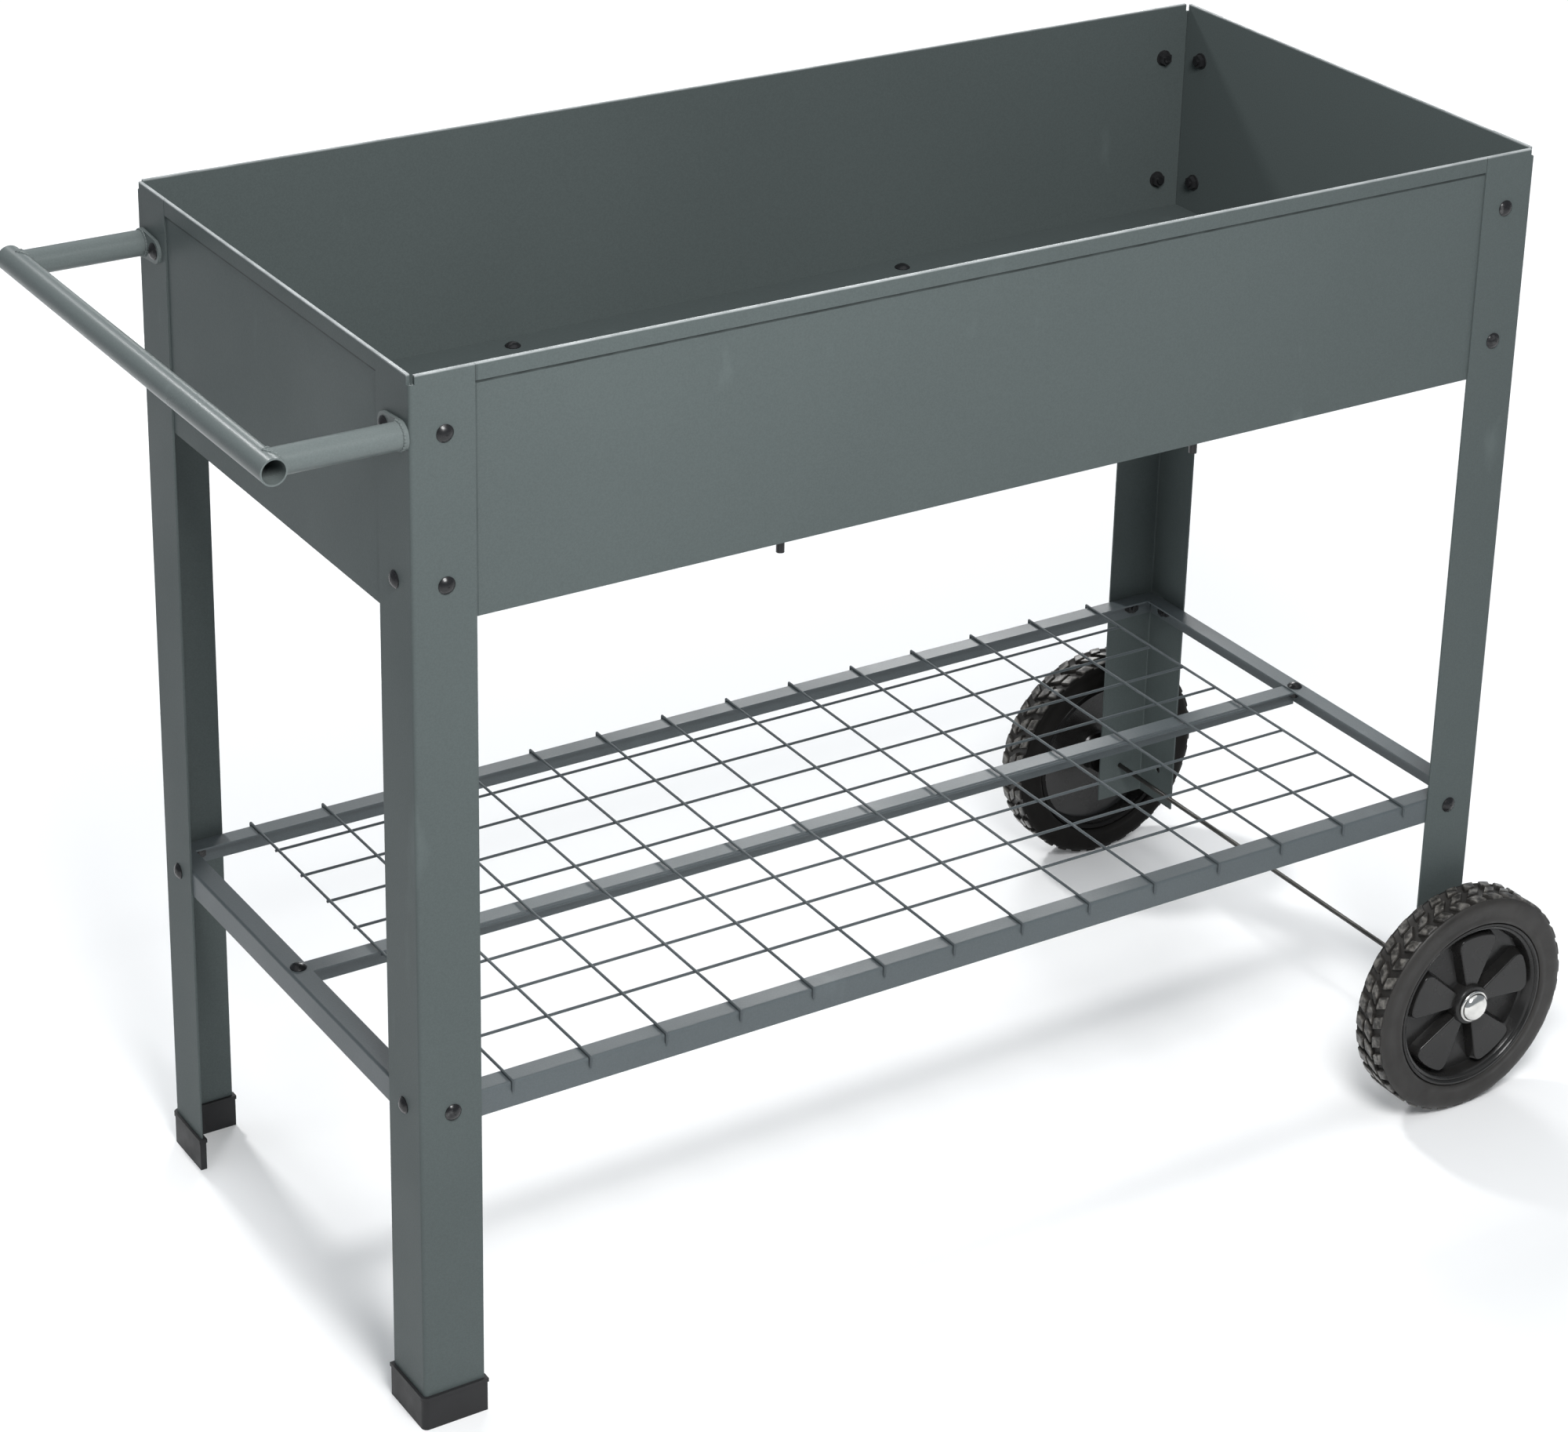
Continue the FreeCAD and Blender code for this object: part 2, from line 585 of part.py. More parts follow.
def handle_fasteners():
    """The two bolts through the handle's plates, and their nuts inside the trough."""
    clamped = plate_sheet + leg_sheet + panel_sheet
    seat = (left_x - plate_sheet, front_y + handle_bolt_inset, upper_bolt_z)
    bolt, nut = bolt_and_nut(seat, (1, 0, 0), clamped)
    return group([bolt, to_back(bolt)]), group([nut, to_back(nut)])


def floor_fasteners():
    """The four bolts down through the floor and the long panels' lips."""
    bolts = []
    nuts = []
    for x, y in floor_bolt_places():
        seat = (x, y, tray_bottom + 2 * panel_sheet)
        bolt, nut = bolt_and_nut(seat, (0, 0, -1), 2 * panel_sheet, floor_bolt_tail)
        bolts.append(bolt)
        nuts.append(nut)
    return group(bolts), group(nuts)


def shelf_fasteners():
    """Bolts and nuts that hold the four shelf rails to the legs."""
    clamped = leg_sheet + rail_sheet
    bolts = []
    nuts = []
    for seat, direction in (((left_x + bolt_inset, front_y, shelf_bolt_z), (0, 1, 0)),
                            ((left_x, front_y + bolt_inset, shelf_bolt_z), (1, 0, 0))):
        bolt, nut = bolt_and_nut(seat, direction, clamped)
        for shape, kept in ((bolt, bolts), (nut, nuts)):
            kept += [shape, to_back(shape), to_right(shape), to_right(to_back(shape))]
    return group(bolts), group(nuts)


def middle_rail_fasteners():
    """The two bolts down through the end rails' flanges into the middle rail."""
    bolt, nut = bolt_and_nut((left_x + middle_bolt_inset, 0, shelf_top), (0, 0, -1), 2 * rail_sheet)
    return group([bolt, to_right(bolt)]), group([nut, to_right(nut)])


def build():
    os.makedirs("parts", exist_ok=True)

    left_leg = leg(cap_floor, True, False)
    right_leg = to_right(leg(axle_z - right_leg_drop, False, True))
    cap = foot_cap()
    panel = long_panel()
    rail = long_rail()
    left_rail = end_rail()
    arm = handle_arm()
    plate = handle_plate()
    tyre = wheel_tyre()
    rim = wheel_rim()
    spacer = axle_spacer()
    end_cap = push_cap()

    export(left_leg, "leg_front_left")
    export(to_back(left_leg), "leg_back_left")
    export(right_leg, "leg_front_right")
    export(to_back(right_leg), "leg_back_right")
    export(cap, "foot_cap_front")
    export(to_back(cap), "foot_cap_back")

    export(panel, "front_panel")
    export(to_back(panel), "back_panel")
    export(end_panel(True), "left_end_panel")
    export(to_right(end_panel(False)), "right_end_panel")
    export(tray_floor(), "tray_floor")

    export(rail, "shelf_front_rail")
    export(to_back(rail), "shelf_back_rail")
    export(left_rail, "shelf_left_rail")
    export(to_right(left_rail), "shelf_right_rail")
    export(middle_rail(), "shelf_middle_rail")
    export(shelf_mesh(), "shelf_mesh")

    export(handle_cross_tube(), "handle_cross_tube")
    export(arm, "handle_front_arm")
    export(to_back(arm), "handle_back_arm")
    export(plate, "handle_front_plate")
    export(to_back(plate), "handle_back_plate")

    export(axle(), "axle")
    for side, place in (("front", lambda shape: shape), ("back", to_back)):
        export(place(tyre), side + "_wheel_tyre")
        export(place(rim), side + "_wheel_rim")
        export(place(spacer), side + "_axle_spacer")
        export(place(end_cap), side + "_axle_cap")

    fastener_groups = {"tray": tray_fasteners(), "handle": handle_fasteners(), "floor": floor_fasteners(),
                       "shelf": shelf_fasteners(), "middle_rail": middle_rail_fasteners()}
    for name, (bolts, nuts) in fastener_groups.items():
        export(bolts, name + "_bolts")
        export(nuts, name + "_nuts")


build()
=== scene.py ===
import json
import math

import bmesh
import bpy
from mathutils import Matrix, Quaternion, Vector


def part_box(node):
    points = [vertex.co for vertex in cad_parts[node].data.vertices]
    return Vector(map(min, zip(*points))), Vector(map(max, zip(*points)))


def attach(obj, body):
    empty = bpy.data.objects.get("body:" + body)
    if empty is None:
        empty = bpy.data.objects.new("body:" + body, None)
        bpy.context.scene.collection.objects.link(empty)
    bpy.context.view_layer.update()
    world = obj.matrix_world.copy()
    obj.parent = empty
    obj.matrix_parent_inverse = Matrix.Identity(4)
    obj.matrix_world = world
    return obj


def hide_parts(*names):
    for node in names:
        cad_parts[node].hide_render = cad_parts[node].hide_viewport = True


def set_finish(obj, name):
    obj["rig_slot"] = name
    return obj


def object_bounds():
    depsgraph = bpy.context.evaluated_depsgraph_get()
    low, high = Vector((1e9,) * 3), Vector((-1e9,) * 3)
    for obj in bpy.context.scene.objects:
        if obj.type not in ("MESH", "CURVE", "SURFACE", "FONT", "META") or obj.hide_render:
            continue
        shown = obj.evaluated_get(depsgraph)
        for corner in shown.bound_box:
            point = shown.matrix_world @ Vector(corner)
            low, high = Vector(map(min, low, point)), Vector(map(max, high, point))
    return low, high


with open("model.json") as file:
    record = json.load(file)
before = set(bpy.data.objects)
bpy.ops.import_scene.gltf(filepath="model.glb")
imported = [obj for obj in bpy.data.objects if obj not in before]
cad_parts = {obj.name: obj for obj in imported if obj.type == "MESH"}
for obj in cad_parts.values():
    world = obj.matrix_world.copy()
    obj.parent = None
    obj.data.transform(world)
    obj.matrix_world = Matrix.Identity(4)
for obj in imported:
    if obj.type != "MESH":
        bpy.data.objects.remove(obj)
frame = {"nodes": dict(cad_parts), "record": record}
cad_low, cad_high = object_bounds()

MM = 0.001

# ---- wheels and push caps, in millimetres from the wheel's axis and inner face ----------------------
TURN_STEPS = 136
MERGE_DISTANCE = 1e-6             # in metres: points nearer than this become one
BORE_GAP = 0.1                    # between the axle and a bore, all round

LUG_PITCHES = 34
LUG_STEPS = 3
LUG_SHARE = 0.66                  # how much of each pitch a lug fills
LUG_TOP_SHARE = 0.86              # a lug's top is this much of its foot's length
SHOULDER_LEAN = math.radians(0.32)    # how far a lug turns for each millimetre across the tread
CENTRE_LEAN = 2 * SHOULDER_LEAN
TYRE_BEVEL = 0.5
TYRE_SHARP_DEGREES = 42

# outlines as (radius, distance outwards from the wheel's inner face)
TYRE_OUTLINE = [(72.0, 1.6), (73.0, 0.5), (75.0, 0.15), (77.0, 0.7), (79.5, 0.9), (85.0, 0.3), (89.0, 0.5),
                (91.6, 1.5), (92.9, 3.0), (92.4, 4.4), (91.4, 5.6), (91.2, 17.5), (91.4, 29.4),
                (92.4, 30.6), (92.9, 32.0), (91.6, 33.5), (89.0, 34.5), (85.0, 34.7), (79.5, 34.1),
                (77.0, 34.3), (75.0, 34.85), (73.0, 34.5), (72.0, 33.4)]
SHOULDER_LUG = [(90.6, 3.2), (94.2, 3.2), (94.98, 4.6), (94.98, 11.4), (90.6, 12.0)]
CENTRE_LUG = [(90.6, 13.4), (94.98, 14.0), (94.98, 21.0), (90.6, 21.6)]
RIM_OUTLINE = [(13.6, 0.2), (15.6, 0.8), (16.6, 2.4), (17.2, 15.6), (18.6, 17.0), (63.4, 17.0),
               (65.2, 16.0), (66.0, 13.5), (66.2, 3.4), (67.2, 2.2), (70.8, 2.0), (71.9, 3.0),
               (71.9, 32.4), (71.1, 33.6), (69.4, 33.8), (68.3, 33.0), (67.8, 31.6), (66.2, 31.2),
               (65.2, 30.2), (64.2, 23.2), (62.6, 21.4), (19.4, 21.2), (17.6, 22.4), (16.9, 32.8),
               (16.0, 34.2), (14.2, 34.7)]
CAP_OUTLINE = [(13.5, 0.0), (13.5, 0.9), (13.0, 1.4), (12.0, 1.6), (11.7, 2.8), (10.9, 4.4),
               (9.2, 5.8), (6.6, 6.8), (3.4, 7.35), (0.0, 7.5)]
CAP_POCKET = 2.5                  # how deep the axle's end goes into the cap
CAP_SHARP_DEGREES = 50

SPOKES = 5
SPOKE_FIRST_ANGLE = math.radians(14)
SPOKE_HALF_ANGLE = math.radians(19.5)
SPOKE_INNER = 15.5
SPOKE_OUTER = 60.8
SPOKE_FOOT = 20.6
SPOKE_TOP = 30.6
SPOKE_DRAFT = 2.2                 # a spoke's foot stands this far outside its top
SPOKE_CORNER = 7.0                # radius of the pockets' rounded corners
SPOKE_ARC_STEPS = 10
SPOKE_CORNER_STEPS = 5
RIM_BEVEL = 0.9
RIM_BEVEL_DEGREES = 60
RIM_SHARP_DEGREES = 40

# ---- weld beads ------------------------------------------------------------------------------------
BEAD_RADIUS = 1.15 * MM
BEAD_RIPPLE = 0.22 * MM
BEAD_RIPPLES = 26
BEAD_STEPS = 208
BEAD_SIDES = 10
BEAD_SHARP_DEGREES = 80

# ---- colours, where the paint is worn or dusty, and where highlight and shade are painted ----------
WHITE = (1.0, 1.0, 1.0)
GREY_GREEN = (0.082, 0.098, 0.097)
BLACK = (0.022, 0.022, 0.023)
# worn coat and a painted highlight along the trough's rim
RIM_WEAR_AND_HIGHLIGHT = (0.36, 0.38, 0.38, 1.0)
# dust and a painted highlight on the tread blocks' tops
TREAD_DUST_AND_HIGHLIGHT = (0.17, 0.16, 0.145, 1.0)
RUBBER_BLOOM = (0.060, 0.056, 0.050, 1.0)
BLACKING_RUBBED = (0.11, 0.11, 0.11, 1.0)
RIM_BAND = 1.3 * MM               # how far down the trough's rim the coat is paler: worn, and painted as a highlight
HEM_HEIGHT = 12.0 * MM            # the folded strip below the rim
HEM_STAND = 1.9 * MM              # from the hem's face to the middle of the panel's sheet
SEAM_WIDTH = 2.3 * MM             # the painted shadow line under the hem
SEAM_SHADE = 0.36                 # the painted shadow's tone, as a share of the paint's
LEG_SEAM_WIDTH = 2.0 * MM         # the painted shadow line along a left leg's edge
LEG_SEAM_SHARE = 0.45             # how strong it is beside the one under the hem
TREAD_FOOT = 92.5 * MM            # radius below which a tread block keeps its plain colour
TREAD_TOP = 95.0 * MM             # radius from which it is dusty and painted paler as a highlight
INNER_SIDE_DEPTH = 3.0 * MM       # how far into a wheel the painted shade on its inner side goes
INNER_SIDE_FADE = 1.5 * MM        # how fast it ends
INNER_SIDE_GLOSS = 0.08

# ---- depth of the fine relief in each surface ------------------------------------------------------
ORANGE_PEEL = 0.06 * MM
SHEET_WAVE = 0.5 * MM
MOULD_GRAIN = 0.05 * MM
RUBBER_PITS = 0.12 * MM
RUBBER_DENTS = 0.2 * MM
METAL_GRAIN = 0.03 * MM


# ---- mesh helpers ----------------------------------------------------------------------------------
def finished(bm, name, sharp_degrees):
    """An object from a bmesh: outward normals, smooth shading, and sharp edges above an angle."""
    bmesh.ops.recalc_face_normals(bm, faces=bm.faces)
    for face in bm.faces:
        face.smooth = True
    for edge in bm.edges:
        edge.smooth = edge.calc_face_angle(math.pi) < math.radians(sharp_degrees)
    mesh = bpy.data.meshes.new(name)
    bm.to_mesh(mesh)
    bm.free()
    piece = bpy.data.objects.new(name, mesh)
    bpy.context.scene.collection.objects.link(piece)
    return piece


def bevelled(piece, width, degrees, segments=2):
    """Rounds the edges that are sharper than an angle."""
    bevel = piece.modifiers.new("bevel", "BEVEL")
    bevel.width = width
    bevel.segments = segments
    bevel.limit_method = "ANGLE"
    bevel.angle_limit = math.radians(degrees)
    bevel.harden_normals = True


def bridge(bm, rings, closed):
    """Quads between rings of vertices, and from the last ring to the first when closed."""
    pairs = list(zip(rings, rings[1:]))
    if closed:
        pairs.append((rings[-1], rings[0]))
    for ring, following in pairs:
        for index in range(len(ring)):
            after = (index + 1) % len(ring)
            corners = (ring[index], ring[after], following[after], following[index])
            bm.faces.new(corners)


class WheelPlace:
    """Turns (radius, outwards, angle) on one wheel, in millimetres, into a point in the frame."""

    def __init__(self, side):
        low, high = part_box(side + "_wheel_tyre")
        self.x = (low.x + high.x) / 2
        self.z = (low.z + high.z) / 2
        self.outward = -1 if side == "front" else 1
        self.inner_y = high.y if side == "front" else low.y
        axle_low, axle_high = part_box("axle")
        self.bore = (axle_high.z - axle_low.z) / 2 / MM + BORE_GAP

    def __call__(self, radius, outwards, angle):
        x = self.x + radius * MM * math.cos(angle)
        y = self.inner_y + self.outward * outwards * MM
        z = self.z + radius * MM * math.sin(angle)
        return Vector((x, y, z))


def turn_outline(bm, outline, place):
    """A ring turned from a closed outline."""
    rings = []
    for step in range(TURN_STEPS):
        angle = math.tau * step / TURN_STEPS
        rings.append([bm.verts.new(place(radius, out, angle)) for radius, out in outline])
    bridge(bm, rings, closed=True)
    bmesh.ops.remove_doubles(bm, verts=bm.verts, dist=MERGE_DISTANCE)


def add_lug(bm, section, place, middle, half_angle, lean):
    """One tread block: a section swept round a short arc, shorter at its top, leaning across the tread."""
    foot = min(radius for radius, _ in section)
    top = max(radius for radius, _ in section)
    centre = sum(out for _, out in section) / len(section)
    rings = []
    for step in range(LUG_STEPS + 1):
        share = 2 * step / LUG_STEPS - 1
        ring = []
        for radius, out in section:
            rise = (radius - foot) / (top - foot)
            reach = half_angle * (1 - (1 - LUG_TOP_SHARE) * rise)
            ring.append(bm.verts.new(place(radius, out, middle + share * reach + lean * (out - centre))))
        rings.append(ring)
    bridge(bm, rings, closed=False)
    bm.faces.new(rings[0])
    bm.faces.new(list(reversed(rings[-1])))


def spoke_outline(grow):
    """One flat spoke seen from outside, about +X: straight sides, a round outer edge, rounded corners.

    `grow` moves every side outwards, for the spoke's wider foot.
    """
    outer = SPOKE_OUTER + grow
    side = SPOKE_HALF_ANGLE
    corner_angle = SPOKE_CORNER / outer
    points = [(SPOKE_INNER, -side - grow / SPOKE_INNER)]
    side_end = outer - SPOKE_CORNER
    for step in range(SPOKE_CORNER_STEPS + 1):
        turn = math.pi / 2 * step / SPOKE_CORNER_STEPS
        radius = side_end + SPOKE_CORNER * math.sin(turn)
        points.append((radius, -side - grow / radius + corner_angle * (1 - math.cos(turn))))
    arc = -points[-1][1]
    for step in range(1, SPOKE_ARC_STEPS):
        points.append((outer, -arc + 2 * arc * step / SPOKE_ARC_STEPS))
    mirrored = [(radius, -angle) for radius, angle in reversed(points[:SPOKE_CORNER_STEPS + 2])]
    return points + mirrored


# ---- wheels ----------------------------------------------------------------------------------------
def make_tyre(side, place):
    """A turned ring, with one row of tread blocks on each shoulder and one between them."""
    bm = bmesh.new()
    turn_outline(bm, TYRE_OUTLINE, place)
    width = TYRE_OUTLINE[0][1] + TYRE_OUTLINE[-1][1]
    far_lug = [(radius, width - out) for radius, out in SHOULDER_LUG]
    half_pitch = math.pi / LUG_PITCHES
    half_angle = half_pitch * LUG_SHARE
    for pitch in range(LUG_PITCHES):
        angle = math.tau * pitch / LUG_PITCHES
        add_lug(bm, SHOULDER_LUG, place, angle, half_angle, SHOULDER_LEAN)
        add_lug(bm, far_lug, place, angle + half_pitch, half_angle, -SHOULDER_LEAN)
        add_lug(bm, CENTRE_LUG, place, angle + half_pitch / 2, half_angle, CENTRE_LEAN)
    tyre = finished(bm, side + "_tyre_detail", TYRE_SHARP_DEGREES)
    bevelled(tyre, TYRE_BEVEL * MM, TYRE_SHARP_DEGREES)
    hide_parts(side + "_wheel_tyre")
    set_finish(tyre, "tyre_rubber")
    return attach(tyre, side + "_wheel")


def make_rim(side, place):
    """A turned band, web and hub, with spokes that narrow from foot to top."""
    bm = bmesh.new()
    bore = [(place.bore, RIM_OUTLINE[-1][1]), (place.bore, RIM_OUTLINE[0][1])]
    turn_outline(bm, RIM_OUTLINE + bore, place)
    top_outline = spoke_outline(0)
    foot_outline = spoke_outline(SPOKE_DRAFT)
    for index in range(SPOKES):
        middle = SPOKE_FIRST_ANGLE + math.tau * index / SPOKES
        foot = [bm.verts.new(place(radius, SPOKE_FOOT, middle + angle)) for radius, angle in foot_outline]
        top = [bm.verts.new(place(radius, SPOKE_TOP, middle + angle)) for radius, angle in top_outline]
        bridge(bm, [foot, top], closed=False)
        bm.faces.new(top)
        bm.faces.new(list(reversed(foot)))
    rim = finished(bm, side + "_rim_detail", RIM_SHARP_DEGREES)
    bevelled(rim, RIM_BEVEL * MM, RIM_BEVEL_DEGREES, segments=3)
    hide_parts(side + "_wheel_rim")
    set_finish(rim, "rim_plastic")
    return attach(rim, side + "_wheel")


def make_axle_cap(side, place):
    """The pressed cap: a flange, then a dome; its outline is measured from the CAD cap's base."""
    low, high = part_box(side + "_axle_cap")
    base_y = high.y if side == "front" else low.y
    lift = abs(base_y - place.inner_y) / MM
    bm = bmesh.new()
    bore = place.bore - BORE_GAP
    pocket = [(0.0, CAP_POCKET), (bore, CAP_POCKET), (bore, 0.0)]
    turn_outline(bm, [(radius, out + lift) for radius, out in CAP_OUTLINE + pocket], place)
    cap = finished(bm, side + "_axle_cap_detail", CAP_SHARP_DEGREES)
    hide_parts(side + "_axle_cap")
    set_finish(cap, "axle_cap_steel")
    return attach(cap, "frame")


# ---- welds on the handle ---------------------------------------------------------------------------
def make_bead(name, path):
    """A rippled weld bead along a closed path of points."""
    bm = bmesh.new()
    rings = []
    count = len(path)
    for index, point in enumerate(path):
        along = (path[(index + 1) % count] - path[index - 1]).normalized()
        if rings:
            side = (side - along * side.dot(along)).normalized()
        else:
            side = along.orthogonal().normalized()
        up = along.cross(side)
        ripple = BEAD_RIPPLE * math.sin(math.tau * BEAD_RIPPLES * index / count)
        ring = []
        for corner in range(BEAD_SIDES):
            angle = math.tau * corner / BEAD_SIDES
            offset = side * math.cos(angle) + up * math.sin(angle)
            ring.append(bm.verts.new(point + offset * (BEAD_RADIUS + ripple)))
        rings.append(ring)
    first = rings[0]
    last = rings[-1]
    shift = min(range(BEAD_SIDES), key=lambda step: (last[0].co - first[step].co).length)
    bridge(bm, rings, closed=False)
    bridge(bm, [last, first[shift:] + first[:shift]], closed=False)
    bead = finished(bm, name, BEAD_SHARP_DEGREES)
    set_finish(bead, "handle_paint")
    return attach(bead, "frame")


def make_handle_welds(side):
    """One bead where the arm meets its plate, and one where it meets the cross tube."""
    tube_low, tube_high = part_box("handle_cross_tube")
    arm_low, arm_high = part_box("handle_" + side + "_arm")
    radius = (tube_high.x - tube_low.x) / 2
    tube_x = (tube_high.x + tube_low.x) / 2
    arm_y = (arm_low.y + arm_high.y) / 2
    arm_z = (arm_low.z + arm_high.z) / 2
    at_plate = []
    at_tube = []
    for step in range(BEAD_STEPS):
        angle = math.tau * step / BEAD_STEPS
        y = arm_y + radius * math.sin(angle)
        rise = radius * math.cos(angle)
        at_plate.append(Vector((arm_high.x, y, arm_z + rise)))
        at_tube.append(Vector((tube_x + math.sqrt(max(radius ** 2 - rise ** 2, 0)), y, arm_z + rise)))
    return [make_bead(side + "_plate_weld", at_plate), make_bead(side + "_tube_weld", at_tube)]


# ---- material helpers ------------------------------------------------------------------------------
class Paint:
    """A material being built: its node tree, its shader and the object's own coordinates."""

    def __init__(self, name):
        self.material = bpy.data.materials.new(name)
        self.material.use_nodes = True
        self.tree = self.material.node_tree
        self.shader = self.tree.nodes["Principled BSDF"]
        self.place = self.tree.nodes.new("ShaderNodeTexCoord").outputs["Object"]

    def set(self, **values):
        for key, value in values.items():
            self.shader.inputs[key.replace("_", " ")].default_value = value

    def link(self, output, name):
        self.tree.links.new(output, self.shader.inputs[name])

    def node(self, kind, links, **settings):
        node = self.tree.nodes.new(kind)
        for key, value in settings.items():
            setattr(node, key, value)
        for key, value in links.items():
            if isinstance(value, bpy.types.NodeSocket):
                self.tree.links.new(value, node.inputs[key])
            else:
                node.inputs[key].default_value = value
        return node

    def noise(self, scale, detail=3.0, stretch=None):
        place = self.place
        if stretch:
            place = self.node("ShaderNodeMapping", {"Vector": place, "Scale": stretch}).outputs["Vector"]
        node = self.node("ShaderNodeTexNoise", {"Vector": place, "Scale": scale, "Detail": detail})
        return node.outputs["Fac"]

    def ramp(self, value, stops):
        node = self.node("ShaderNodeValToRGB", {"Fac": value})
        elements = node.color_ramp.elements
        for element, (position, colour) in zip(elements, (stops[0], stops[-1])):
            element.position = position
            element.color = colour
        for position, colour in stops[1:-1]:
            elements.new(position).color = colour
        return node.outputs["Color"]

    def spread(self, value, at_start, at_end, start=0.3, end=0.7):
        """A number that goes from at_start to at_end as a value goes from start to end."""
        links = {"Value": value, "From Min": start, "From Max": end, "To Min": at_start, "To Max": at_end}
        return self.node("ShaderNodeMapRange", links).outputs["Result"]

    def fade(self, value, start, end):
        """0 up to start, rising to 1 at end."""
        return self.spread(value, 0.0, 1.0, start, end)

    def vector(self, operation, first, second=(0.0, 0.0, 0.0)):
        node = self.node("ShaderNodeVectorMath", {0: first, 1: second}, operation=operation)
        return node.outputs["Vector"]

    def split(self, vector):
        return self.node("ShaderNodeSeparateXYZ", {"Vector": vector}).outputs

    def math(self, operation, first, second):
        return self.node("ShaderNodeMath", {0: first, 1: second}, operation=operation).outputs["Value"]

    def product(self, first, second):
        return self.math("MULTIPLY", first, second)

    def greater(self, first, second):
        return self.math("MAXIMUM", first, second)

    def above(self, value, limit):
        return self.math("GREATER_THAN", value, limit)

    def band(self, value, low, high):
        """1 between two limits and 0 elsewhere."""
        return self.product(self.above(value, low), self.math("LESS_THAN", value, high))

    def mix(self, share, first, second, blend="MIX"):
        node = self.tree.nodes.new("ShaderNodeMix")
        node.data_type = "RGBA"
        node.blend_type = blend
        sockets = {"Factor_Float": share, "A_Color": first, "B_Color": second}
        for socket in node.inputs:
            value = sockets.get(socket.identifier)
            if isinstance(value, bpy.types.NodeSocket):
                self.tree.links.new(value, socket)
            elif value is not None:
                socket.default_value = value
        return next(socket for socket in node.outputs if socket.identifier == "Result_Color")

    def bump(self, height, depth, strength=1.0, under=None):
        links = {"Height": height, "Distance": depth, "Strength": strength}
        if under:
            links["Normal"] = under
        return self.node("ShaderNodeBump", links).outputs["Normal"]

    def uneven_roughness(self, value, middle, smoother, rougher):
        """Roughness that follows a value from a little below a middle to a little above it."""
        self.link(self.spread(value, middle - smoother, middle + rougher), "Roughness")


def shade(colour, factor):
    """A darker or lighter tone of a colour, with the alpha that a socket needs."""
    return tuple(channel * factor for channel in colour) + (1.0,)


def two_tones(paint, colour, scale, change, detail=3.0):
    """A colour that drifts between a darker and a lighter tone."""
    stops = [(0.32, shade(colour, 1 - change)), (0.68, shade(colour, 1 + change))]
    return paint.ramp(paint.noise(scale, detail), stops)


# ---- materials -------------------------------------------------------------------------------------
def rim_wear_and_highlight(paint, tone):
    """The coat paler along the rim, in a band that comes and goes: partly rubbed wear, partly a painted
    highlight on the rim's top.
    """
    height = paint.split(paint.place)["Z"]
    band = paint.fade(height, start=cad_high.z - RIM_BAND, end=cad_high.z - RIM_BAND / 3)
    patches = paint.spread(paint.noise(scale=38.0, detail=4.0), at_start=0.55, at_end=1.0)
    return paint.mix(paint.product(band, patches), tone, RIM_WEAR_AND_HIGHLIGHT)


def painted_seam_shadow(paint, tone, colour):
    """Painted shadow in the corners under the folded hem and along the left legs' edges, on the outside
    only.
    """
    panel_low, panel_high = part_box("front_panel")
    leg_inner_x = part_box("leg_front_left")[1].x
    end_outer_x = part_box("left_end_panel")[0].x
    middle_x = (panel_low.x + panel_high.x) / 2
    centred = paint.vector("SUBTRACT", paint.place, (middle_x, 0.0, 0.0))
    left_half = paint.math("LESS_THAN", paint.split(centred)["X"], 0.0)
    place = paint.split(paint.vector("ABSOLUTE", centred))

    hem_foot = cad_high.z - HEM_HEIGHT
    under_hem = paint.band(place["Z"], hem_foot - SEAM_WIDTH, hem_foot)
    outside_long = paint.above(place["Y"], -panel_low.y - HEM_STAND)
    outside_end = paint.above(place["X"], middle_x - end_outer_x - HEM_STAND)
    leg_edge = paint.above(place["X"], middle_x - leg_inner_x - LEG_SEAM_WIDTH)
    leg_edge = paint.product(paint.product(leg_edge, left_half), LEG_SEAM_SHARE)

    on_long = paint.product(outside_long, paint.greater(under_hem, leg_edge))
    on_end = paint.product(outside_end, under_hem)
    patches = paint.spread(paint.noise(scale=60.0, detail=3.0), at_start=0.55, at_end=0.95)
    share = paint.product(paint.greater(on_long, on_end), patches)
    return paint.mix(share, tone, shade(colour, SEAM_SHADE))


